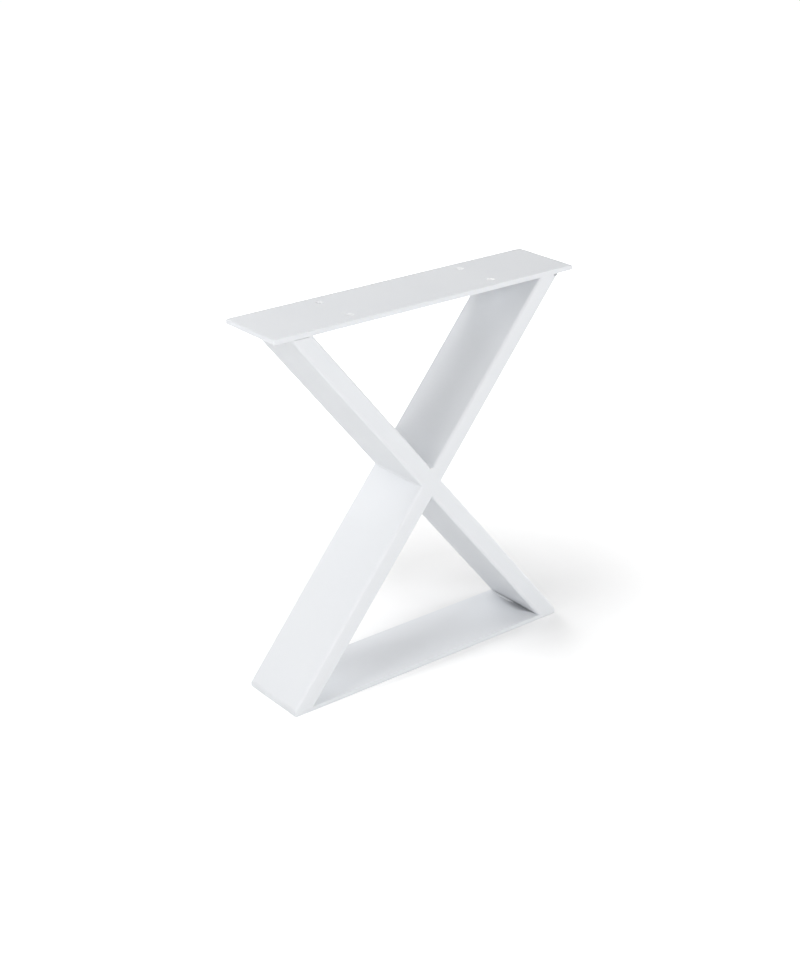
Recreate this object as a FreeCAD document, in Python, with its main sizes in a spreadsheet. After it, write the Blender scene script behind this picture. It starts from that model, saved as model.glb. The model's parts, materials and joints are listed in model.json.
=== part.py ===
"""An X-shaped steel table leg, welded from rectangular tube and flat bar, then powder coated.

X runs along the leg, Y through its depth with the front at minus Y, and Z up.
The origin is on the floor under the middle of the base plate. Lengths are in millimetres.
"""
import FreeCAD, Part
import math
import os
import Sketcher

doc = FreeCAD.newDocument("x_table_leg")
sizes = doc.addObject("Spreadsheet::Sheet", "Sizes")

DRIVING_SIZES = [
    ("leg_height", "400", "floor to the table top's underside"),
    ("leg_depth", "80", "depth of the tube and of both plates"),
    ("top_length", "370", "length of the top plate"),
    ("base_length", "352", "length of the base plate"),
    ("plate_thickness", "5", "flat bar of both plates"),
    ("plate_edge_radius", "0.8", "eased edge round each plate's outer face"),
    ("screw_hole_diameter", "5.5", "hole for a table top screw"),
    ("hole_pitch_length", "176", "between screw holes, along the plate"),
    ("hole_pitch_depth", "48", "between screw holes, across the plate"),
    ("tube_width", "20", "narrow side of the tube"),
    ("tube_wall", "2", "wall of the tube"),
    ("tube_inner_radius", "1", "corner inside the tube"),
    ("top_overhang", "18", "top plate past an arm's outer corner"),
    ("toe_trim", "2", "arm's outer corner cut away at the base plate's end"),
    ("weld_size", "2.5", "weld bead along each face that it joins"),
    ("toe_weld_length", "4", "weld inside a toe, in from the base plate's end"),
]
WORKED_OUT_SIZES = [
    ("underside", "=leg_height - plate_thickness", "height of the top plate's lower face"),
    ("tube_outer_radius", "=tube_inner_radius + tube_wall", "corner outside the tube"),
    ("bead_length", "=leg_depth - 2 * tube_outer_radius", "flat part of the tube's wide face"),
    ("top_corner", "=top_length / 2 - top_overhang", "middle to an arm's outer corner, at the top"),
    ("base_corner", "=base_length / 2 + toe_trim", "middle to that corner at the base, untrimmed"),
    ("arm_run", "=top_corner + base_corner", "level distance between an arm's outer corners"),
    ("arm_rise", "=leg_height - 2 * plate_thickness", "upright distance between them"),
    ("arm_reach", "=hypot(arm_run; arm_rise)", "straight line between them"),
    ("arm_angle", "=atan2(arm_rise; arm_run) + asin(tube_width / arm_reach)", "arm above the floor"),
    ("foot_width", "=tube_width / sin(arm_angle)", "tube's width where it is cut level"),
    ("foot_middle", "=base_corner - foot_width / 2", "middle of the leg to the middle of an arm's foot"),
    ("crossing_height", "=plate_thickness + foot_middle * tan(arm_angle)", "middle of the X"),
    ("crossing_reach", "=tube_width / sin(2 * arm_angle) + weld_size",
     "middle of the X to the face of a crossing weld, along an arm"),
]
for row, (alias, content, note) in enumerate(DRIVING_SIZES + WORKED_OUT_SIZES, start=1):
    sizes.set(f"A{row}", note)
    sizes.set(f"B{row}", content)
    sizes.setAlias(f"B{row}", alias)
doc.recompute()

FALLING, RISING = -1, 1     # an arm's lean, seen from the front and followed to the right
sub_parts = []


def new_sub_part(label):
    """Starts a sub-part, which is written under its label."""
    body = doc.addObject("PartDesign::Body", label)
    sub_parts.append(body)
    return body


def sketch_on(body, role, name):
    """Starts a sketch on one of the body's own planes."""
    sketch = body.newObject("Sketcher::SketchObject", name)
    origin_plane = next(item for item in body.Origin.OriginFeatures if item.Role == role)
    sketch.AttachmentSupport = [(origin_plane, "")]
    sketch.MapMode = "FlatFace"
    return sketch


def sketch_at_height(body, name, height):
    """Starts a level sketch at a height."""
    sketch = sketch_on(body, "XY_Plane", name)
    sketch.setExpression("AttachmentOffset.Base.z", height)
    return sketch


def sketch_across_arm(body, name, lean):
    """Starts a sketch square to an arm, in the middle of the X. Its x axis runs across the tube."""
    sketch = sketch_on(body, "XY_Plane", name)
    turn_axis = FreeCAD.Vector(0, lean, 0)
    sketch.AttachmentOffset = FreeCAD.Placement(FreeCAD.Vector(), FreeCAD.Rotation(turn_axis, 45))
    sketch.setExpression("AttachmentOffset.Base.z", "Sizes.crossing_height")
    sketch.setExpression("AttachmentOffset.Rotation.Angle", "90 deg - Sizes.arm_angle")
    return sketch


def value(text):
    """Works out a formula that reads the sheet, as a plain number."""
    return float(sizes.evalExpression(text))


def bind(sketch, constraint, formula):
    """Adds a constraint whose size follows a formula."""
    index = sketch.addConstraint(constraint)
    sketch.setExpression(f"Constraints[{index}]", formula)


def place_point(sketch, geometry, point, x_formula, y_formula):
    """Ties one point of a sketch to two formulas."""
    for kind, formula in (("DistanceX", x_formula), ("DistanceY", y_formula)):
        bind(sketch, Sketcher.Constraint(kind, -1, 1, geometry, point, value(formula)), formula)


def draw_outline(sketch, corners):
    """Draws a closed outline of straight lines, each corner given as two formulas."""
    points = [FreeCAD.Vector(value(x), value(y), 0) for x, y in corners]
    ends = points[1:] + points[:1]
    lines = [sketch.addGeometry(Part.LineSegment(start, end)) for start, end in zip(points, ends)]
    for line, following in zip(lines, lines[1:] + lines[:1]):
        sketch.addConstraint(Sketcher.Constraint("Coincident", line, 2, following, 1))
    for line, (x, y) in zip(lines, corners):
        place_point(sketch, line, 1, x, y)


def draw_rectangle(sketch, left, right, bottom, top):
    """Draws a rectangle between four formulas."""
    draw_outline(sketch, [(left, bottom), (right, bottom), (right, top), (left, top)])


def draw_tube_outline(sketch, inset, radius):
    """Draws the tube's rounded outline about the origin, set in from its outside by a formula."""
    half_width = value(f"Sizes.tube_width / 2 - ({inset})")
    half_depth = value(f"Sizes.leg_depth / 2 - ({inset})")
    corner = value(radius)
    inner_x, inner_y = half_width - corner, half_depth - corner
    sides = [
        ((inner_x, -half_depth), (-inner_x, -half_depth)),
        ((-half_width, -inner_y), (-half_width, inner_y)),
        ((-inner_x, half_depth), (inner_x, half_depth)),
        ((half_width, inner_y), (half_width, -inner_y)),
    ]
    lines = []
    for start, end in sides:
        line = Part.LineSegment(FreeCAD.Vector(*start, 0), FreeCAD.Vector(*end, 0))
        lines.append(sketch.addGeometry(line))
    arcs = []
    for x_side, y_side, start_degrees in ((-1, -1, 180), (-1, 1, 90), (1, 1, 0), (1, -1, 270)):
        centre = FreeCAD.Vector(x_side * inner_x, y_side * inner_y, 0)
        circle = Part.Circle(centre, FreeCAD.Vector(0, 0, 1), corner)
        start = math.radians(start_degrees)
        arcs.append(sketch.addGeometry(Part.ArcOfCircle(circle, start, start + math.pi / 2)))
    for place, (line, arc) in enumerate(zip(lines, arcs)):
        following = lines[(place + 1) % len(lines)]
        direction = "Horizontal" if place % 2 == 0 else "Vertical"
        sketch.addConstraint(Sketcher.Constraint(direction, line))
        sketch.addConstraint(Sketcher.Constraint("Tangent", line, 2, arc, 2))
        sketch.addConstraint(Sketcher.Constraint("Tangent", arc, 1, following, 1))
    for arc in arcs[1:]:
        sketch.addConstraint(Sketcher.Constraint("Equal", arcs[0], arc))
    bind(sketch, Sketcher.Constraint("Radius", arcs[0], corner), radius)
    place_point(sketch, arcs[2], 3, f"Sizes.tube_width / 2 - ({inset}) - ({radius})",
                f"Sizes.leg_depth / 2 - ({inset}) - ({radius})")
    sketch.addConstraint(Sketcher.Constraint("Symmetric", arcs[0], 3, arcs[2], 3, -1, 1))


def pad_both_ways(body, sketch, length):
    """Pads a sketch evenly to both sides."""
    pad = body.newObject("PartDesign::Pad", f"{sketch.Name}_pad")
    pad.Profile = sketch
    pad.SideType = "Symmetric"
    pad.setExpression("Length", length)
    doc.recompute()


def cut_through(body, sketch):
    """Cuts a sketch right through the body, both ways, and stops if nothing was cut."""
    volume_before = body.Shape.Volume
    pocket = body.newObject("PartDesign::Pocket", f"{sketch.Name}_cut")
    pocket.Profile = sketch
    pocket.SideType = "Symmetric"
    pocket.Type = "ThroughAll"
    doc.recompute()
    if not body.Shape.Volume < volume_before:
        raise RuntimeError(f"{sketch.Label} cuts nothing from {body.Label}")


def keep_inside(body, sketch, left, right, bottom, top):
    """Cuts away all of the body that lies outside a window in the sketch's plane."""
    far = "2 * Sizes.arm_reach"
    draw_rectangle(sketch, f"-{far}", far, f"-{far}", far)
    draw_rectangle(sketch, left, right, bottom, top)
    cut_through(body, sketch)


def edges_at_height(shape, height):
    """Names the edges that lie level at a height."""
    names = []
    for number, edge in enumerate(shape.Edges, start=1):
        box = edge.BoundBox
        if max(abs(box.ZMin - height), abs(box.ZMax - height)) < 1e-6:
            names.append(f"Edge{number}")
    return names


def make_plate(label, length, bottom, outer_face):
    """A plate of flat bar. The edges round its outer face are eased."""
    body = new_sub_part(label)
    outline = sketch_at_height(body, f"{label}_outline", bottom)
    draw_rectangle(outline, f"-{length} / 2", f"{length} / 2",
                   "-Sizes.leg_depth / 2", "Sizes.leg_depth / 2")
    pad = body.newObject("PartDesign::Pad", f"{label}_bar")
    pad.Profile = outline
    pad.setExpression("Length", "Sizes.plate_thickness")
    doc.recompute()
    eased = body.newObject("PartDesign::Fillet", f"{label}_eased_edges")
    eased.Base = (pad, edges_at_height(pad.Shape, value(outer_face)))
    eased.setExpression("Radius", "Sizes.plate_edge_radius")
    doc.recompute()
    return body


def drill_screw_holes(body):
    """Four plain holes through the top plate, in a rectangle about its middle."""
    holes = sketch_at_height(body, "screw_holes", "Sizes.underside")
    radius = value("Sizes.screw_hole_diameter") / 2
    for x_side in ("", "-"):
        for y_side in ("", "-"):
            x_formula = f"{x_side}Sizes.hole_pitch_length / 2"
            y_formula = f"{y_side}Sizes.hole_pitch_depth / 2"
            centre = FreeCAD.Vector(value(x_formula), value(y_formula), 0)
            circle = holes.addGeometry(Part.Circle(centre, FreeCAD.Vector(0, 0, 1), radius))
            place_point(holes, circle, 3, x_formula, y_formula)
            bind(holes, Sketcher.Constraint("Diameter", circle, 2 * radius), "Sizes.screw_hole_diameter")
    cut_through(body, holes)


def make_tube(label, lean):
    """A length of tube along an arm's line, longer than the arm."""
    body = new_sub_part(label)
    section = sketch_across_arm(body, f"{label}_section", lean)
    draw_tube_outline(section, "0", "Sizes.tube_outer_radius")
    draw_tube_outline(section, "Sizes.tube_wall", "Sizes.tube_inner_radius")
    pad_both_ways(body, section, "2 * Sizes.arm_reach")
    return body


def trim_between_plates(body, left, right):
    """Saws a tube level at both plates, and upright at the base plate's end."""
    trim = sketch_on(body, "XZ_Plane", f"{body.Label}_trim")
    keep_inside(body, trim, left, right, "Sizes.plate_thickness", "Sizes.underside")


def mitre_to_long_arm(body, left, right):
    """Mitres a short arm to the long arm, keeping what lies between two distances across that arm."""
    mitre = sketch_across_arm(body, f"{body.Label}_mitre", FALLING)
    keep_inside(body, mitre, left, right, "-Sizes.leg_depth", "Sizes.leg_depth")


def make_ground_weld(label, x_low, x_high, y_low, y_high):
    """Weld metal, ground flush, that fills the long arm's rounded edge under the end of a short arm."""
    body = new_sub_part(label)
    flush = sketch_across_arm(body, f"{label}_flush_outline", RISING)
    draw_tube_outline(flush, "0", "Sizes.tube_outer_radius")
    pad_both_ways(body, flush, "2 * Sizes.arm_reach")
    side = sketch_across_arm(body, f"{label}_side", FALLING)
    keep_inside(body, side, x_low, x_high, y_low, y_high)
    long_arm = sketch_across_arm(body, f"{label}_seat", FALLING)
    draw_tube_outline(long_arm, "0", "Sizes.tube_outer_radius")
    cut_through(body, long_arm)


def make_crossing_weld(label, first_arm, second_arm):
    """A weld in a corner of the crossing, ground flat. At both ends it fills the tubes' rounded edges."""
    body = new_sub_part(label)
    section = sketch_on(body, "XZ_Plane", f"{label}_section")
    corners = [("0", "Sizes.crossing_height")]
    for arm in (first_arm, second_arm):
        face_x = f"Sizes.crossing_reach * cos({arm})"
        face_z = f"Sizes.crossing_height + Sizes.crossing_reach * sin({arm})"
        corners.append((face_x, face_z))
    draw_outline(section, corners)
    pad_both_ways(body, section, "Sizes.leg_depth")
    for tube, lean in (("long_arm", FALLING), ("short_arms", RISING)):
        seat = sketch_across_arm(body, f"{label}_seat_on_{tube}", lean)
        draw_tube_outline(seat, "0", "Sizes.tube_outer_radius")
        cut_through(body, seat)


def make_bead(label, corner, first_face, second_face):
    """A weld bead in the corner between two faces, along the flat of the tube's wide face."""
    body = new_sub_part(label)
    section = sketch_on(body, "XZ_Plane", f"{label}_section")
    corner_x, corner_z = corner
    corners = [corner]
    for face in (first_face, second_face):
        toe_x = f"{corner_x} + Sizes.weld_size * cos({face})"
        toe_z = f"{corner_z} + Sizes.weld_size * sin({face})"
        corners.append((toe_x, toe_z))
    draw_outline(section, corners)
    pad_both_ways(body, section, "Sizes.bead_length")


def make_toe_weld(label, lean, left, right):
    """Weld metal that closes a tube's trimmed toe from inside, flush with the base plate's end."""
    body = new_sub_part(label)
    core = sketch_across_arm(body, f"{label}_core", lean)
    draw_tube_outline(core, "Sizes.tube_wall", "Sizes.tube_inner_radius")
    pad_both_ways(body, core, "2 * Sizes.arm_reach")
    toe = sketch_on(body, "XZ_Plane", f"{label}_toe")
    keep_inside(body, toe, left, right, "Sizes.plate_thickness", "Sizes.crossing_height")


# The two plates of flat bar
top_plate = make_plate("top_plate", "Sizes.top_length", "Sizes.underside", "Sizes.leg_height")
drill_screw_holes(top_plate)
make_plate("base_plate", "Sizes.base_length", "0", "0")

# The long arm runs from the top plate's left end to the base plate's right end
FAR_LEFT, FAR_RIGHT = "-Sizes.arm_reach", "Sizes.arm_reach"
LEFT_END, RIGHT_END = "-Sizes.base_length / 2", "Sizes.base_length / 2"
UPPER_FACE, LOWER_FACE = "Sizes.tube_width / 2", "-Sizes.tube_width / 2"
long_arm = make_tube("long_arm", FALLING)
trim_between_plates(long_arm, FAR_LEFT, RIGHT_END)

# Two short arms, mitred to the long arm, make the other stroke of the X
upper_arm = make_tube("upper_short_arm", RISING)
mitre_to_long_arm(upper_arm, UPPER_FACE, FAR_RIGHT)
trim_between_plates(upper_arm, FAR_LEFT, FAR_RIGHT)
lower_arm = make_tube("lower_short_arm", RISING)
mitre_to_long_arm(lower_arm, FAR_LEFT, LOWER_FACE)
trim_between_plates(lower_arm, LEFT_END, FAR_RIGHT)

# Ground welds make the X one flush face at the front and at the back
for side, y_low, y_high in (("front", "-Sizes.leg_depth", "0"), ("back", "0", "Sizes.leg_depth")):
    make_ground_weld(f"upper_{side}_ground_weld", "0", UPPER_FACE, y_low, y_high)
    make_ground_weld(f"lower_{side}_ground_weld", LOWER_FACE, "0", y_low, y_high)

# Welds in the four corners of the crossing
RIGHT_UP, LEFT_UP = "Sizes.arm_angle", "180 deg - Sizes.arm_angle"
RIGHT_DOWN, LEFT_DOWN = "-Sizes.arm_angle", "180 deg + Sizes.arm_angle"
LEVEL_RIGHT, LEVEL_LEFT = "0 deg", "180 deg"
make_crossing_weld("crossing_top_weld", LEFT_UP, RIGHT_UP)
make_crossing_weld("crossing_bottom_weld", LEFT_DOWN, RIGHT_DOWN)
make_crossing_weld("crossing_left_weld", LEFT_UP, LEFT_DOWN)
make_crossing_weld("crossing_right_weld", RIGHT_UP, RIGHT_DOWN)

# Weld beads between the arms and the plates
TOP_INNER, BASE_INNER = "(Sizes.top_corner - Sizes.foot_width)", "(Sizes.base_corner - Sizes.foot_width)"
make_bead("top_left_outer_weld", ("-Sizes.top_corner", "Sizes.underside"), LEVEL_LEFT, RIGHT_DOWN)
make_bead("top_left_inner_weld", (f"-{TOP_INNER}", "Sizes.underside"), LEVEL_RIGHT, RIGHT_DOWN)
make_bead("top_right_outer_weld", ("Sizes.top_corner", "Sizes.underside"), LEVEL_RIGHT, LEFT_DOWN)
make_bead("top_right_inner_weld", (TOP_INNER, "Sizes.underside"), LEVEL_LEFT, LEFT_DOWN)
make_bead("base_left_weld", (f"-{BASE_INNER}", "Sizes.plate_thickness"), LEVEL_RIGHT, RIGHT_UP)
make_bead("base_right_weld", (BASE_INNER, "Sizes.plate_thickness"), LEVEL_LEFT, LEFT_UP)

# Welds that close the trimmed toes
make_toe_weld("left_toe_weld", RISING, LEFT_END, f"{LEFT_END} + Sizes.toe_weld_length")
make_toe_weld("right_toe_weld", FALLING, f"{RIGHT_END} - Sizes.toe_weld_length", RIGHT_END)

doc.recompute()
for item in doc.Objects:
    if "Invalid" in item.State or "Error" in item.State:
        raise RuntimeError(f"{item.Label} failed")
for body in sub_parts:
    if body.Shape.isNull() or not body.Shape.isValid() or len(body.Shape.Solids) != 1:
        raise RuntimeError(f"{body.Label} has no single valid solid")

os.makedirs("parts", exist_ok=True)
for body in sub_parts:
    body.Shape.exportStep(f"parts/{body.Label}.step")
    box = body.Shape.BoundBox
    print(f"{body.Label}: {body.Shape.Volume:.1f} mm3,"
          f" x {box.XMin:.2f} to {box.XMax:.2f}, y {box.YMin:.2f} to {box.YMax:.2f},"
          f" z {box.ZMin:.2f} to {box.ZMax:.2f}")
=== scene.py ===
"""A white X-shaped steel table leg on a pale studio floor, in metres and in the part's own frame."""
import json
import math
import bpy
from mathutils import Matrix, Vector


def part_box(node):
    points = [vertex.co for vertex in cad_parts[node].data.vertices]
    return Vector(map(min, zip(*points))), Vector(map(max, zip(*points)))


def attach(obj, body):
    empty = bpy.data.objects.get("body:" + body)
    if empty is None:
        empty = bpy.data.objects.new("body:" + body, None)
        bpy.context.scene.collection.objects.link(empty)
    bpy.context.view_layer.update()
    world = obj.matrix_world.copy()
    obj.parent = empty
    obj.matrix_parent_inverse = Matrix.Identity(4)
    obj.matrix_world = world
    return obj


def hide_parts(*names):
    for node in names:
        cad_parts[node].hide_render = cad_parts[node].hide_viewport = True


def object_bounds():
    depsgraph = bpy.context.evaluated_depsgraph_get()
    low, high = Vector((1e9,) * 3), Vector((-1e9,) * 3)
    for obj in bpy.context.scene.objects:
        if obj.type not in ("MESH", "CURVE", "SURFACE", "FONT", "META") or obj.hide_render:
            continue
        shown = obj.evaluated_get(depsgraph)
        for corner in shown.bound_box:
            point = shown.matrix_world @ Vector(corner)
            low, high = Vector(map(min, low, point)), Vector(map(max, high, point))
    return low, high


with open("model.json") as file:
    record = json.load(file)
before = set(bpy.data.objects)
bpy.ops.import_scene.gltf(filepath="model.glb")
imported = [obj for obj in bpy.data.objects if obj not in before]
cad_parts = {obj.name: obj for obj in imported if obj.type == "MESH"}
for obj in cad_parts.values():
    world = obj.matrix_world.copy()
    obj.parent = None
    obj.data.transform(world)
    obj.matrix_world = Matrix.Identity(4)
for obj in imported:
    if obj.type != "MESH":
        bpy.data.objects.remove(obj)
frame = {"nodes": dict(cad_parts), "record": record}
cad_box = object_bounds()

# Base plate: mild steel flat bar, as wide as the tube is deep, that is the leg's foot.
# It is sawn to length, its edges are broken with a file, and the arms are welded down to it.
# The whole leg is powder coated white after welding.
OUTER_EDGE = 0.0008             # broken edge round a plate's outer face
INNER_EDGE = 0.0004             # edge of the coat round a plate's welded face and up its corners
EDGE_STEPS = 4
SHARP_ANGLE = math.radians(60)
SMOOTH_ANGLE = math.radians(35)
FACE_WEIGHT = 100
TOUCH = 1e-6                    # points closer than this touch
WHITE_COAT = (0.805, 0.820, 0.840, 1)
THIN_COAT = (0.785, 0.802, 0.826, 1)
COAT_SHINE = 0.25
COAT_ROUGHNESS = 0.68
COAT_RELIEF = 0.00006
PEEL_PER_METRE = 420
GRAIN_PER_METRE = 2600
CLOUDS_PER_METRE = 11
WAVES_PER_METRE = 44
GRAIN_HEIGHT = 0.25             # of the peel's height
GRAIN_SHARE = 0.35              # of what mottles the coat's colour, and the clouds are the rest
MOTTLE_RANGE = (0.3, 0.75)      # where the coat is full and where it is thinnest
THIN_DULLING = 0.10             # added roughness where the coat is thinnest
MIX_FIRST, MIX_SECOND, MIX_RESULT = 6, 7, 2     # colour sockets of a mix


def start_block(name, size, middle):
    """Adds a block of a size at a place, alone in the selection."""
    bpy.ops.object.select_all(action="DESELECT")
    bpy.ops.mesh.primitive_cube_add(size=1, location=middle)
    piece = bpy.context.object
    piece.name = name
    piece.data.name = name
    piece.scale = size
    bpy.ops.object.transform_apply(location=True, rotation=True, scale=True)
    return piece


def select_part(piece, kind, wanted):
    """Selects a piece's points, edges or faces that pass a test, and leaves it in edit mode."""
    bpy.ops.object.mode_set(mode="EDIT")
    bpy.ops.mesh.select_mode(type=kind)
    bpy.ops.mesh.select_all(action="DESELECT")
    bpy.ops.object.mode_set(mode="OBJECT")
    mesh = piece.data
    items = {"VERT": mesh.vertices, "EDGE": mesh.edges, "FACE": mesh.polygons}[kind]
    for item in items:
        item.select = wanted(item)
    bpy.ops.object.mode_set(mode="EDIT")


def edge_ends(piece, edge):
    """The two end points of an edge."""
    return [piece.data.vertices[index].co for index in edge.vertices]


def apply_modifier(piece, kind, **settings):
    """Adds a modifier with its settings and applies it."""
    modifier = piece.modifiers.new(kind.lower(), kind)
    for setting, value in settings.items():
        setattr(modifier, setting, value)
    bpy.ops.object.modifier_apply(modifier=modifier.name)


def round_edges(piece, wanted, width, steps):
    """Rounds the edges of a piece that pass a test. A single step makes a flat chamfer."""
    select_part(piece, "EDGE", wanted)
    bpy.ops.mesh.bevel(offset=width, segments=steps, affect="EDGES")
    bpy.ops.object.mode_set(mode="OBJECT")


def break_edges(piece, is_outer):
    """Files the edges of a plate: more round its outer face, which a test tells, and less elsewhere."""
    round_edges(piece, is_outer, OUTER_EDGE, EDGE_STEPS)
    apply_modifier(piece, "BEVEL", width=INNER_EDGE, segments=EDGE_STEPS, limit_method="ANGLE",
                   angle_limit=SHARP_ANGLE)


def finish_piece(piece, material, slot, *nodes):
    """Gives a finished piece its coat and smooth shading, and sets it in place of its plain solids."""
    piece.data.materials.clear()
    piece.data.materials.append(material)
    bpy.ops.object.shade_smooth_by_angle(angle=SMOOTH_ANGLE)
    apply_modifier(piece, "WEIGHTED_NORMAL", weight=FACE_WEIGHT, keep_sharp=True)
    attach(piece, "root")
    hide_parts(*nodes)


def build_coat_texture():
    """Powder coat: an orange peel skin, a fine grain, and faint clouds where it lies thinner."""
    group = bpy.data.node_groups.new("powder_coat_texture", "ShaderNodeTree")
    for socket, kind in (("Coat", "Color"), ("Thin Coat", "Color"), ("Roughness", "Float"),
                         ("Peel Scale", "Float"), ("Waviness", "Float")):
        group.interface.new_socket(socket, in_out="INPUT", socket_type=f"NodeSocket{kind}")
    for socket, kind in (("Color", "Color"), ("Roughness", "Float"), ("Height", "Float")):
        group.interface.new_socket(socket, in_out="OUTPUT", socket_type=f"NodeSocket{kind}")
    nodes, links = group.nodes, group.links
    inputs = nodes.new("NodeGroupInput")
    outputs = nodes.new("NodeGroupOutput")
    place = nodes.new("ShaderNodeTexCoord").outputs["Object"]

    def feed(socket, source):
        if isinstance(source, (int, float)):
            socket.default_value = source
        else:
            links.new(source, socket)

    def noise(scale, detail):
        node = nodes.new("ShaderNodeTexNoise")
        feed(node.inputs["Scale"], scale)
        feed(node.inputs["Detail"], detail)
        feed(node.inputs["Vector"], place)
        return node.outputs["Fac"]

    def calculate(operation, *sources):
        node = nodes.new("ShaderNodeMath")
        node.operation = operation
        for socket, source in zip(node.inputs, sources):
            feed(socket, source)
        return node.outputs["Value"]

    peel = noise(inputs.outputs["Peel Scale"], detail=1)
    grain = noise(GRAIN_PER_METRE, detail=2)
    clouds = noise(CLOUDS_PER_METRE, detail=3)
    waves = noise(WAVES_PER_METRE, detail=1)

    skin = calculate("MULTIPLY_ADD", grain, GRAIN_HEIGHT, peel)
    swell = calculate("MULTIPLY", waves, inputs.outputs["Waviness"])
    links.new(calculate("ADD", skin, swell), outputs.inputs["Height"])

    cloudy = calculate("MULTIPLY", clouds, 1 - GRAIN_SHARE)
    thinness = nodes.new("ShaderNodeMapRange")
    for socket, limit in zip(("From Min", "From Max"), MOTTLE_RANGE):
        thinness.inputs[socket].default_value = limit
    links.new(calculate("MULTIPLY_ADD", grain, GRAIN_SHARE, cloudy), thinness.inputs["Value"])
    coat = nodes.new("ShaderNodeMix")
    coat.data_type = "RGBA"
    links.new(thinness.outputs["Result"], coat.inputs["Factor"])
    links.new(inputs.outputs["Coat"], coat.inputs[MIX_FIRST])
    links.new(inputs.outputs["Thin Coat"], coat.inputs[MIX_SECOND])
    links.new(coat.outputs[MIX_RESULT], outputs.inputs["Color"])

    dulling = calculate("MULTIPLY", thinness.outputs["Result"], THIN_DULLING)
    links.new(calculate("ADD", inputs.outputs["Roughness"], dulling), outputs.inputs["Roughness"])
    return group


def coat_material(name, coat, thin_coat, peel_scale=PEEL_PER_METRE, waviness=0, relief=COAT_RELIEF):
    """A nearly matt powder coat with its own colours and relief."""
    material = bpy.data.materials.new(name)
    material.use_nodes = True
    nodes, links = material.node_tree.nodes, material.node_tree.links
    shader = nodes["Principled BSDF"]
    texture = nodes.new("ShaderNodeGroup")
    texture.node_tree = coat_texture
    texture.inputs["Coat"].default_value = coat
    texture.inputs["Thin Coat"].default_value = thin_coat
    texture.inputs["Roughness"].default_value = COAT_ROUGHNESS
    texture.inputs["Peel Scale"].default_value = peel_scale
    texture.inputs["Waviness"].default_value = waviness
    shader.inputs["Specular IOR Level"].default_value = COAT_SHINE
    bump = nodes.new("ShaderNodeBump")
    bump.inputs["Distance"].default_value = relief
    links.new(texture.outputs["Color"], shader.inputs["Base Color"])
    links.new(texture.outputs["Roughness"], shader.inputs["Roughness"])
    links.new(texture.outputs["Height"], bump.inputs["Height"])
    links.new(bump.outputs["Normal"], shader.inputs["Normal"])
    return material


coat_texture = build_coat_texture()
white_coat = coat_material("white_powder_coat", WHITE_COAT, THIN_COAT)

base_low, base_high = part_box("base_plate")
foot = start_block("foot_plate", base_high - base_low, (base_low + base_high) / 2)


def on_underside(edge):
    """Tells the edges round the base plate's lower face."""
    return all(abs(end.z - base_low.z) < TOUCH for end in edge_ends(foot, edge))


break_edges(foot, on_underside)
finish_piece(foot, white_coat, "powder_coat", "base_plate")

# Long arm: one length of rectangular steel tube with rounded corners, from top left to bottom right.
# It is sawn level at both plates and upright at its toe, and both ends are welded to the plates.
# A fine seam is left open at the front, under the top plate.
CORNER_STEPS = 8
TOE_EDGE = 0.0020
TUBE_WALL = 0.002
SEAM_START, SEAM_END = -0.164, -0.146
SEAM_DEPTH = 0.0012
SEAM_WIDTH = 0.0004
NEARLY = 0.95                   # a face that looks this much along a direction looks along it
QUARTER_TURN = math.pi / 2
corner_low, corner_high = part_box("upper_front_ground_weld")
crossing = Vector((0, 0, corner_low.z))
half_foot, half_waist = corner_high.x, corner_high.z - corner_low.z
arm_angle = math.atan2(half_waist, half_foot)
tube_width = 2 * half_foot * math.sin(arm_angle)
tube_corner = corner_high.y - corner_low.y
tube_depth = base_high.y - base_low.y
tube_stock = 2 * (cad_box[1] - cad_box[0]).length       # longer than any arm
plate_top = base_high.z
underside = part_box("top_plate")[0].z
DOWN, UP, LEFT, RIGHT = Vector((0, 0, -1)), Vector((0, 0, 1)), Vector((-1, 0, 0)), Vector((1, 0, 0))


def start_tube(name, turn):
    """Adds tube stock through the middle of the X, turned about the depth axis to an arm's slope."""
    piece = start_block(name, (tube_width, tube_depth, tube_stock), (0, 0, 0))
    half_stock = tube_stock / 2

    def runs_along(edge):
        first, second = edge_ends(piece, edge)
        return abs(first.z - second.z) > half_stock

    round_edges(piece, runs_along, tube_corner, CORNER_STEPS)
    select_part(piece, "FACE", lambda face: abs(face.normal.z) > NEARLY)
    bpy.ops.mesh.inset(thickness=TUBE_WALL, use_individual=True)
    bpy.ops.mesh.bridge_edge_loops()
    bpy.ops.mesh.select_all(action="SELECT")
    bpy.ops.mesh.normals_make_consistent(inside=False)
    bpy.ops.object.mode_set(mode="OBJECT")
    piece.rotation_euler.y = turn
    piece.location = crossing
    bpy.ops.object.transform_apply(location=True, rotation=True, scale=True)
    return piece


def saw(piece, point, outward):
    """Saws off what lies past a plane and closes the cut."""
    bpy.ops.object.mode_set(mode="EDIT")
    bpy.ops.mesh.select_all(action="SELECT")
    bpy.ops.mesh.bisect(plane_co=point, plane_no=outward, use_fill=True, clear_outer=True)
    bpy.ops.object.mode_set(mode="OBJECT")


def round_toe(piece, end):
    """Grinds round the edge between an arm's outer face and its trimmed toe, which stands at an end."""
    def is_toe(edge):
        return all(abs(point.x - end) < TOUCH and point.z > plate_top + TOE_EDGE
                   for point in edge_ends(piece, edge))

    round_edges(piece, is_toe, TOE_EDGE, EDGE_STEPS)


def cut_away(piece, cutter):
    """Cuts one solid out of a piece and removes that solid."""
    bpy.context.view_layer.objects.active = piece
    apply_modifier(piece, "BOOLEAN", operation="DIFFERENCE", solver="EXACT", object=cutter)
    bpy.data.objects.remove(cutter)
    piece.select_set(True)


def leave_gap(piece, low, high):
    """Leaves a gap in a piece, as a block between two corners."""
    cut_away(piece, start_block("gap", high - low, (low + high) / 2))


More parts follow.
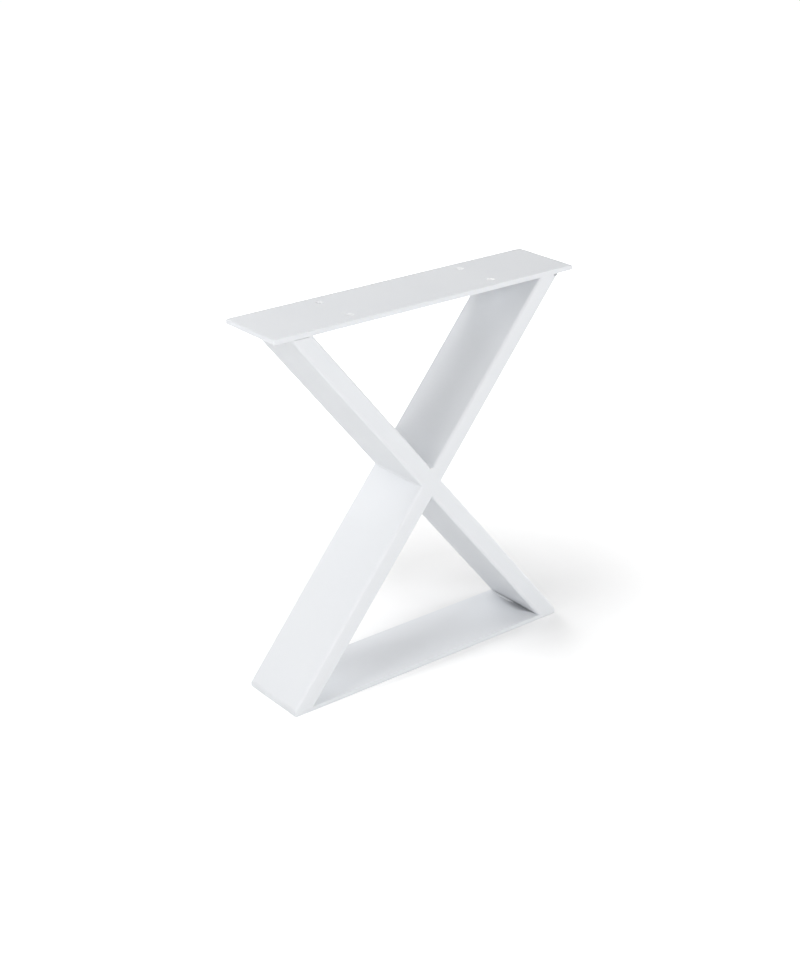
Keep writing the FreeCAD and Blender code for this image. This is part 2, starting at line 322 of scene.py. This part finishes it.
lean = QUARTER_TURN - arm_angle
long_arm = start_tube("through_arm", -lean)
saw(long_arm, (0, 0, underside), UP)
saw(long_arm, (0, 0, plate_top), DOWN)
saw(long_arm, (base_high.x, 0, 0), RIGHT)
round_toe(long_arm, base_high.x)
leave_gap(long_arm, Vector((SEAM_START, -tube_depth, underside - SEAM_WIDTH)),
          Vector((SEAM_END, base_low.y + SEAM_DEPTH, tube_stock)))
finish_piece(long_arm, white_coat, "powder_coat", "long_arm")

# Short arms: two lengths of the same tube that make the other stroke of the X.
# Each is mitred to a wide face of the long arm and welded there, and sawn level at its plate.
# The upper one has a pinhole in its outer front corner, under the plate, coloured dark steel inside as
# painted shade.
PINHOLE_START = 0.1592
PINHOLE_DEPTH = 0.0009
PINHOLE_HEIGHT = 0.0018
# Dark steel colour, used as painted shade in the pinhole and in the corner at the base plate's right.
PAINTED_SHADE_STEEL = (0.45, 0.46, 0.48, 1)
STEEL_ROUGHNESS = 0.7
across = Vector((math.sin(arm_angle), 0, math.cos(arm_angle)))
upper_arm = start_tube("upper_arm", lean)
saw(upper_arm, crossing + across * tube_width / 2, -across)
saw(upper_arm, (0, 0, underside), UP)
pinhole_low = Vector((PINHOLE_START, -tube_depth, underside - PINHOLE_HEIGHT))
pinhole_high = Vector((tube_stock, base_low.y + PINHOLE_DEPTH, tube_stock))
leave_gap(upper_arm, pinhole_low, pinhole_high)
finish_piece(upper_arm, white_coat, "powder_coat", "upper_short_arm")
painted_shade_steel = bpy.data.materials.new("painted_shade_steel")
painted_shade_steel.use_nodes = True
steel_shader = painted_shade_steel.node_tree.nodes["Principled BSDF"]
steel_shader.inputs["Base Color"].default_value = PAINTED_SHADE_STEEL
steel_shader.inputs["Roughness"].default_value = STEEL_ROUGHNESS


def in_pinhole(face):
    """Tells the faces inside the pinhole."""
    return all(low - TOUCH < place < high + TOUCH
               for low, place, high in zip(pinhole_low, face.center, pinhole_high))


def give_second_material(piece, material, wanted):
    """Gives the faces of a finished piece that pass a test another material."""
    piece.data.materials.append(material)
    select_part(piece, "FACE", wanted)
    piece.active_material_index = 1
    bpy.ops.object.material_slot_assign()
    bpy.ops.object.mode_set(mode="OBJECT")


# The pinhole's faces get the dark steel colour: painted shade that deepens the pit's own shade.
give_second_material(upper_arm, painted_shade_steel, in_pinhole)

lower_arm = start_tube("lower_arm", lean)
saw(lower_arm, crossing - across * tube_width / 2, across)
saw(lower_arm, (0, 0, plate_top), DOWN)
saw(lower_arm, (base_low.x, 0, 0), LEFT)
round_toe(lower_arm, base_low.x)
finish_piece(lower_arm, white_coat, "powder_coat", "lower_short_arm")

# Ground welds: weld metal in the crossing's top corner and over the long arm's rounded edges there.
# It is ground flat in the corner and flush at the front and the back, so that the X has one plain face.
GROUND_WAVES = 1.5              # of the peel's height
ground_coat = coat_material("ground_weld_coat", WHITE_COAT, THIN_COAT, waviness=GROUND_WAVES)
ground_welds = [f"{end}_{side}_ground_weld" for end in ("upper", "lower") for side in ("front", "back")]
for weld in ground_welds + ["crossing_top_weld"]:
    frame["nodes"][weld].material_slots[0].material = ground_coat

# Top plate: the same flat bar as the base plate but longer, with four holes for the table's screws.
# The holes are drilled and their rims chamfered before coating, and their walls are coloured a lighter
# white: painted light in the holes.
# The arms are welded to its underside.
MM_PER_METRE = 1000
HOLE_STEPS = 48
HOLE_RIM = 0.0013
# Lighter white for the holes' walls and rims: painted light.
HOLE_PAINTED_LIGHT = (0.95, 0.95, 0.95, 1)
screws = next(mount for mount in frame["record"]["mounts"] if mount["name"] == "top_screws")["dims"]
hole_x = screws["spacing_x_mm"] / 2 / MM_PER_METRE
hole_y = screws["spacing_y_mm"] / 2 / MM_PER_METRE
hole_radius = screws["hole_r_mm"] / MM_PER_METRE
top_low, top_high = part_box("top_plate")
drill_length = 4 * (top_high.z - top_low.z)
top = start_block("mounting_plate", top_high - top_low, (top_low + top_high) / 2)
for x_side in (LEFT, RIGHT):
    for y_side in (-1, 1):
        drill_place = x_side * hole_x + Vector((0, y_side * hole_y, top_high.z))
        bpy.ops.object.select_all(action="DESELECT")
        bpy.ops.mesh.primitive_cylinder_add(vertices=HOLE_STEPS, radius=hole_radius, depth=drill_length,
                                            location=drill_place)
        cut_away(top, bpy.context.object)


def from_hole(point):
    """How far a point of the plate is from the middle line of the nearest hole."""
    return math.hypot(abs(point.x) - hole_x, abs(point.y) - hole_y)


def on_rim(edge):
    """Tells the upper rims of the holes."""
    return all(from_hole(end) < hole_radius + TOUCH and end.z > top_high.z - TOUCH
               for end in edge_ends(top, edge))


def on_outside(edge):
    """Tells the edges round the plate's upper face."""
    first, second = edge_ends(top, edge)
    long_edge = abs(abs(first.y) - top_high.y) < TOUCH and abs(first.y - second.y) < TOUCH
    short_edge = abs(abs(first.x) - top_high.x) < TOUCH and abs(first.x - second.x) < TOUCH
    return (long_edge or short_edge) and min(first.z, second.z) > top_high.z - TOUCH


def in_hole(face):
    """Tells the faces of the holes and their rims."""
    return from_hole(face.center) < hole_radius + HOLE_RIM and face.normal.z < NEARLY


round_edges(top, on_rim, HOLE_RIM, steps=1)
break_edges(top, on_outside)
finish_piece(top, white_coat, "powder_coat", "top_plate")
# The holes' faces get the lighter white: painted light in the holes.
hole_painted_light_coat = coat_material("painted_light_hole_coat", HOLE_PAINTED_LIGHT, WHITE_COAT)
give_second_material(top, hole_painted_light_coat, in_hole)

# Weld beads at the plates: a run outside and inside each arm at the top plate, and inside at the base.
# Each is laid by hand in small overlapping ripples and tapers off at its ends. The right one at the base
# lies on the plate, a hair off the arm, and ends half way: in front of it the corner is open.
BEAD_CROWN = 0.12               # of a bead's leg
BEAD_ARC_STEPS = 8
BEAD_END = 0.4                  # of its section, at each end
BEAD_TAPER = 0.006
LOW_LEG = 0.0022
OFF_ARM = 0.0008
RIPPLE_PITCH = 0.0022
RIPPLE_SWELL = 1.09
RIPPLE_LAG = 0.0006
LAGGING_PART = 0.9              # of a bead's height, above which the ripples trail
BEAD_PEEL_PER_METRE = 672
BEAD_WAVES = 0.5
BEAD_RELIEF = 0.00008
HALF_TURN = math.pi
bead_low, bead_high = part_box("base_right_weld")
bead_leg = bead_high.x - bead_low.x
top_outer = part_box("upper_short_arm")[1].x
top_inner = top_outer - 2 * half_foot
base_inner = bead_high.x
whole_run = (bead_low.y, bead_high.y)
back_half = (0, bead_high.y)
bead_coat = coat_material("weld_bead_coat", WHITE_COAT, THIN_COAT, peel_scale=BEAD_PEEL_PER_METRE,
                          waviness=BEAD_WAVES, relief=BEAD_RELIEF)


def slope(angle):
    """The direction at an angle above the right, seen from the front."""
    return Vector((math.cos(angle), 0, math.sin(angle)))


def lay_bead(name, corner, first_face, second_face, leg, run, node):
    """Lays a rippled bead in the corner between two faces, from the front to the back end of a run.

    Each face is given by its angle away from the corner, the second one further round to the left.
    The leg is how far the bead reaches along each of them.
    """
    front, back = run[0] + RIPPLE_LAG, run[1] - RIPPLE_LAG
    ripples = round((back - front) / RIPPLE_PITCH)
    pitch = (back - front) / ripples
    half_opening = (second_face - first_face) / 2
    middle_angle = (first_face + second_face) / 2
    outward = slope(middle_angle)
    half_chord = leg * math.sin(half_opening)
    rise = BEAD_CROWN * leg
    crown_radius = (half_chord ** 2 + rise ** 2) / (2 * rise)
    crown = leg * math.cos(half_opening) + rise
    steps = round(BEAD_ARC_STEPS * HALF_TURN / math.asin(half_chord / crown_radius))

    bpy.ops.object.select_all(action="DESELECT")
    bpy.ops.mesh.primitive_cylinder_add(vertices=steps, radius=crown_radius, depth=pitch,
                                        location=corner + outward * (crown - crown_radius),
                                        rotation=(QUARTER_TURN, QUARTER_TURN - middle_angle, 0))
    bead = bpy.context.object
    bead.name = name
    bead.data.name = name
    bpy.ops.object.transform_apply(location=True, rotation=True, scale=True)
    saw(bead, corner, slope(first_face - QUARTER_TURN))
    saw(bead, corner, slope(second_face + QUARTER_TURN))
    bpy.ops.object.mode_set(mode="EDIT")
    bpy.ops.mesh.select_all(action="SELECT")
    bpy.ops.mesh.bisect(plane_co=(0, 0, 0), plane_no=(0, 1, 0))
    bpy.ops.object.mode_set(mode="OBJECT")
    select_part(bead, "VERT", lambda point: abs(point.co.y) < pitch / 4)
    bpy.ops.transform.resize(value=(RIPPLE_SWELL, 1, RIPPLE_SWELL), center_override=corner)
    bpy.ops.object.mode_set(mode="OBJECT")
    select_part(bead, "FACE", lambda face: abs(face.normal.y) > NEARLY)
    bpy.ops.mesh.delete(type="FACE")
    bpy.ops.object.mode_set(mode="OBJECT")
    select_part(bead, "VERT", lambda point: (point.co - corner).dot(outward) > LAGGING_PART * crown)
    bpy.ops.transform.translate(value=(0, RIPPLE_LAG, 0), use_proportional_edit=True,
                                proportional_edit_falloff="SMOOTH", proportional_size=leg)
    bpy.ops.object.mode_set(mode="OBJECT")
    apply_modifier(bead, "ARRAY", count=ripples, use_relative_offset=False, use_constant_offset=True,
                   constant_offset_displace=(0, pitch, 0), use_merge_vertices=True,
                   merge_threshold=TOUCH)
    bead.location.y = front + pitch / 2
    bpy.ops.object.transform_apply(location=True, rotation=True, scale=True)

    bpy.ops.object.mode_set(mode="EDIT")
    bpy.ops.mesh.select_mode(type="EDGE")
    bpy.ops.mesh.select_all(action="DESELECT")
    bpy.ops.mesh.select_non_manifold()
    bpy.ops.transform.resize(value=(BEAD_END, 1, BEAD_END), center_override=corner,
                             use_proportional_edit=True, proportional_edit_falloff="SMOOTH",
                             proportional_size=BEAD_TAPER)
    bpy.ops.mesh.fill_holes(sides=0)
    bpy.ops.mesh.select_all(action="SELECT")
    bpy.ops.mesh.normals_make_consistent(inside=False)
    bpy.ops.object.mode_set(mode="OBJECT")
    finish_piece(bead, bead_coat, "coated_weld", node)


top_left_outer = Vector((-top_outer, 0, underside))
top_left_inner = Vector((-top_inner, 0, underside))
top_right_outer = Vector((top_outer, 0, underside))
top_right_inner = Vector((top_inner, 0, underside))
base_left_inner = Vector((-base_inner, 0, plate_top))
off_arm = Vector((base_inner - OFF_ARM, 0, plate_top))
lay_bead("top_left_outer_bead", top_left_outer, -HALF_TURN, -arm_angle, bead_leg, whole_run,
         "top_left_outer_weld")
lay_bead("top_left_inner_bead", top_left_inner, -arm_angle, 0, bead_leg, whole_run, "top_left_inner_weld")
lay_bead("top_right_outer_bead", top_right_outer, arm_angle - HALF_TURN, 0, bead_leg, whole_run,
         "top_right_outer_weld")
lay_bead("top_right_inner_bead", top_right_inner, -HALF_TURN, arm_angle - HALF_TURN, bead_leg, whole_run,
         "top_right_inner_weld")
lay_bead("base_left_bead", base_left_inner, 0, arm_angle, bead_leg, whole_run, "base_left_weld")
lay_bead("base_right_bead", off_arm, HALF_TURN - arm_angle, HALF_TURN, LOW_LEG, back_half,
         "base_right_weld")

# Thin beads at the crossing: a fine run in each of its left, right and lower corners.
# They are laid in the same way and dressed back, so that they hardly show under the coat.
FINE_LEG = 0.0012
lay_bead("crossing_left_bead", crossing + LEFT * half_foot, HALF_TURN - arm_angle, HALF_TURN + arm_angle,
         FINE_LEG, whole_run, "crossing_left_weld")
lay_bead("crossing_lower_bead", crossing + DOWN * half_waist, HALF_TURN + arm_angle,
         2 * HALF_TURN - arm_angle, FINE_LEG, whole_run, "crossing_bottom_weld")
lay_bead("crossing_right_bead", crossing + RIGHT * half_foot, -arm_angle, arm_angle,
         FINE_LEG, whole_run, "crossing_right_weld")

# Painted shade in a corner: the coat's colour is darkened towards dark steel in the sharp corner between
# the base plate and the long arm. It stands for the deep shade there, and partly for powder that hardly
# reaches in. The painted shade is darkest in front of the bead.
CORNER_SHADE_WIDTH = 0.013                  # on the plate, from the corner's line
CORNER_SHADE_CORE = 0.3                     # share of that width where the painted shade is darkest
CORNER_SHADE_UPRIGHT = 2.5                  # how much sooner the painted shade fades out, going up
CORNER_SHADE_TIP = (-0.037, -0.012)         # along the corner, where the painted shade begins at the front and is full width
CORNER_SHADE_BACK = (0.026, -0.008)         # where it ends at the back, and where the painted shade is darkest


def build_corner_shade_mask():
    """A mask of painted shade that is full along the open corner, widens from its front end and fades out
    round it.
    """
    group = bpy.data.node_groups.new("painted_corner_shade", "ShaderNodeTree")
    group.interface.new_socket("Mask", in_out="OUTPUT", socket_type="NodeSocketFloat")
    nodes, links = group.nodes, group.links
    coordinates = nodes.new("ShaderNodeTexCoord")
    place = nodes.new("ShaderNodeSeparateXYZ")
    links.new(coordinates.outputs["Object"], place.inputs["Vector"])
    in_section = nodes.new("ShaderNodeVectorMath")
    in_section.operation = "MULTIPLY"
    in_section.inputs[1].default_value = (1, 0, CORNER_SHADE_UPRIGHT)
    links.new(coordinates.outputs["Object"], in_section.inputs[0])
    from_corner = nodes.new("ShaderNodeVectorMath")
    from_corner.operation = "DISTANCE"
    from_corner.inputs[1].default_value = (base_inner, 0, CORNER_SHADE_UPRIGHT * plate_top)
    links.new(in_section.outputs["Vector"], from_corner.inputs[0])

    def fade(source, start, end):
        node = nodes.new("ShaderNodeMapRange")
        node.interpolation_type = "SMOOTHSTEP"
        node.inputs["From Min"].default_value = start
        node.inputs["From Max"].default_value = end
        links.new(source, node.inputs["Value"])
        return node

    width = fade(place.outputs["Y"], *CORNER_SHADE_TIP)
    width.inputs["To Max"].default_value = CORNER_SHADE_WIDTH
    core = nodes.new("ShaderNodeMath")
    core.operation = "MULTIPLY"
    core.inputs[1].default_value = CORNER_SHADE_CORE
    links.new(width.outputs["Result"], core.inputs[0])
    towards_back = fade(place.outputs["Y"], *CORNER_SHADE_BACK)
    mask = fade(from_corner.outputs["Value"], CORNER_SHADE_WIDTH, 0)
    links.new(width.outputs["Result"], mask.inputs["From Min"])
    links.new(core.outputs["Value"], mask.inputs["From Max"])
    links.new(towards_back.outputs["Result"], mask.inputs["To Max"])
    links.new(mask.outputs["Result"], nodes.new("NodeGroupOutput").inputs["Mask"])
    return group


# Under the mask the coat's colour is mixed towards dark steel: painted shade in the corner.
coat_nodes, coat_links = white_coat.node_tree.nodes, white_coat.node_tree.links
corner_shade_node = coat_nodes.new("ShaderNodeGroup")
corner_shade_node.node_tree = build_corner_shade_mask()
painted_shade_mix = coat_nodes.new("ShaderNodeMix")
painted_shade_mix.data_type = "RGBA"
coat_color = coat_nodes["Principled BSDF"].inputs["Base Color"]
coat_links.new(corner_shade_node.outputs["Mask"], painted_shade_mix.inputs["Factor"])
coat_links.new(coat_color.links[0].from_socket, painted_shade_mix.inputs[MIX_FIRST])
painted_shade_mix.inputs[MIX_SECOND].default_value = PAINTED_SHADE_STEEL
coat_links.new(painted_shade_mix.outputs[MIX_RESULT], coat_color)

# Toe welds: weld metal that closes each arm where it is trimmed at the base plate's end.
# It is ground flush with the plate's end and coated, so it keeps its plain shape.
for side in ("left", "right"):
    frame["nodes"][f"{side}_toe_weld"].material_slots[0].material = ground_coat

# Studio floor: a plain pale sheet that the leg stands on, and white light all round it. For the camera
# and in reflections the floor glows, more the further it lies from a spot behind the leg: painted light
# that whitens the floor and hides the leg's shadow away from that spot. Near it the floor keeps the leg's
# soft shadow.
FLOOR_SIZE = 40
FLOOR_COLOR = (0.86, 0.86, 0.86, 1)
SHADED_SPOT = (0.15, 0.09, 0)       # behind the leg, where its shadow is deepest
NEAR, FAR = 0.07, 0.75              # from there, where the paper's painted glow begins and where it reaches full strength


def backdrop_rays(nodes, links):
    """Tells what looks at the backdrop: the camera, straight or in a reflection."""
    path = nodes.new("ShaderNodeLightPath")
    rays = path.outputs["Is Camera Ray"]
    for kind in ("Is Glossy Ray", "Is Transmission Ray"):
        either = nodes.new("ShaderNodeMath")
        either.operation = "MAXIMUM"
        links.new(rays, either.inputs[0])
        links.new(path.outputs[kind], either.inputs[1])
        rays = either.outputs["Value"]
    return rays


bpy.ops.object.select_all(action="DESELECT")
bpy.ops.mesh.primitive_plane_add(size=FLOOR_SIZE)
floor = bpy.context.object
floor.name = "studio_floor"
paper = bpy.data.materials.new("studio_paper")
paper.use_nodes = True
paper_nodes, paper_links = paper.node_tree.nodes, paper.node_tree.links
paper_shader = paper_nodes["Principled BSDF"]
paper_shader.inputs["Base Color"].default_value = FLOOR_COLOR
paper_shader.inputs["Roughness"].default_value = 1
paper_shader.inputs["Specular IOR Level"].default_value = 0
paper_shader.inputs["Emission Color"].default_value = (1, 1, 1, 1)
distance = paper_nodes.new("ShaderNodeVectorMath")
distance.operation = "DISTANCE"
distance.inputs[1].default_value = SHADED_SPOT
paper_links.new(paper_nodes.new("ShaderNodeTexCoord").outputs["Object"], distance.inputs[0])
# Painted glow on the floor, rising with the distance from the shaded spot.
glow = paper_nodes.new("ShaderNodeMapRange")
glow.inputs["From Min"].default_value = NEAR
glow.inputs["From Max"].default_value = FAR
paper_links.new(distance.outputs["Value"], glow.inputs["Value"])
paper_links.new(backdrop_rays(paper_nodes, paper_links), glow.inputs["To Max"])
paper_links.new(glow.outputs["Result"], paper_shader.inputs["Emission Strength"])
floor.data.materials.append(paper)

# Lamps: large square soft boxes on every side of the leg, most of them low.
# Each is given by its bearing from the front towards the right and its height, in degrees, and its watts.
LAMP_DISTANCE = 2.0
LAMP_SIZE = 1.2
LAMPS = [
    ("left_high", -90, 40, 12.5),
    ("left_low", -90, 20, 8.2),
    ("left_overhead", -120, 65, 6.6),
    ("camera_side", -30, 22, 10.2),
    ("front_low", 0, 20, 12.2),
    ("right_front_low", 60, 15, 8.3),
    ("right_low", 90, 20, 16.5),
    ("back_right_low", 150, 15, 9.0),
    ("back_low", 180, 20, 19.0),
]
leg_middle = (cad_box[0] + cad_box[1]) / 2
for name, bearing, height, power in LAMPS:
    turn, tilt = math.radians(bearing), math.radians(height)
    towards = Vector((math.sin(turn) * math.cos(tilt), -math.cos(turn) * math.cos(tilt), math.sin(tilt)))
    lamp = bpy.data.objects.new(name, bpy.data.lights.new(name, "AREA"))
    bpy.context.scene.collection.objects.link(lamp)
    lamp.data.shape = "SQUARE"
    lamp.data.size = LAMP_SIZE
    lamp.data.energy = power
    aim = towards.to_track_quat("Z", "Y").to_matrix().to_4x4()
    lamp.matrix_world = Matrix.Translation(leg_middle + LAMP_DISTANCE * towards) @ aim

world = bpy.data.worlds.new("white_studio")
bpy.context.scene.world = world
world.use_nodes = True
world_nodes, world_links = world.node_tree.nodes, world.node_tree.links
sky = world_nodes["Background"]
sky.inputs["Color"].default_value = (1, 1, 1, 1)
world_links.new(backdrop_rays(world_nodes, world_links), sky.inputs["Strength"])

# Camera: at the photo's place, front left and above, level but for a slight roll.
# Its focal length is in pixels of an 800 x 968 image, whose long side is the sensor's width.
IMAGE_LONG_SIDE = 968
FOCAL_PIXELS = 1720.9
SENSOR_WIDTH = 36
CAMERA_PLACE = Vector((-1.0071, -1.2651, 0.9107))
CAMERA_BEARING = math.radians(38.24)
CAMERA_TILT = math.radians(23.94)
CAMERA_ROLL = math.radians(-0.38)
backward = Vector((-math.sin(CAMERA_BEARING) * math.cos(CAMERA_TILT),
                   -math.cos(CAMERA_BEARING) * math.cos(CAMERA_TILT), math.sin(CAMERA_TILT)))
level = Vector((math.cos(CAMERA_BEARING), -math.sin(CAMERA_BEARING), 0))
upright = backward.cross(level)
camera_turn = Matrix((level, upright, backward)).transposed() @ Matrix.Rotation(CAMERA_ROLL, 3, "Z")
camera = bpy.data.objects.new("camera", bpy.data.cameras.new("camera"))
bpy.context.scene.collection.objects.link(camera)
camera.data.sensor_width = SENSOR_WIDTH
camera.data.lens = FOCAL_PIXELS * SENSOR_WIDTH / IMAGE_LONG_SIDE
camera.matrix_world = Matrix.Translation(CAMERA_PLACE) @ camera_turn.to_4x4()
bpy.context.scene.camera = camera
bpy.context.scene.view_settings.view_transform = "Standard"
